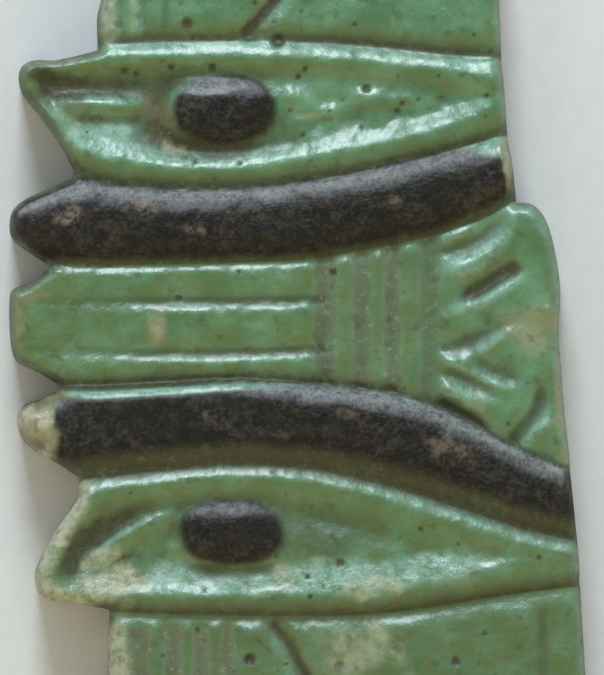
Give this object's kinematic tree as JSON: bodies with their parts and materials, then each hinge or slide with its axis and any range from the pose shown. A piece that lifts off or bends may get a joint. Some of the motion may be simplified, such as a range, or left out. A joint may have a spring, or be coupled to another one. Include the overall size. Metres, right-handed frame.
{
  "type": "double wedjat amulet",
  "caption": "Flat-backed glazed amulet in low relief: two Horus eyes with black brows on either side of a papyrus column lying crosswise.",
  "frame": {"origin": "middle of the flat back: the centre of the outline's bounding box, on the plane that the amulet lies on", "axes": "+Z out of the relief, away from the back; +X along the papyrus column, towards its open flower; +Y towards the eye that is upside down, across the column"},
  "size_m": [0.0289, 0.046, 0.006],
  "materials": {
    "glaze": "gloss"
  },
  "bodies": {
    "root": {"double_wedjat_amulet": "glaze"}
  },
  "joints": []
}
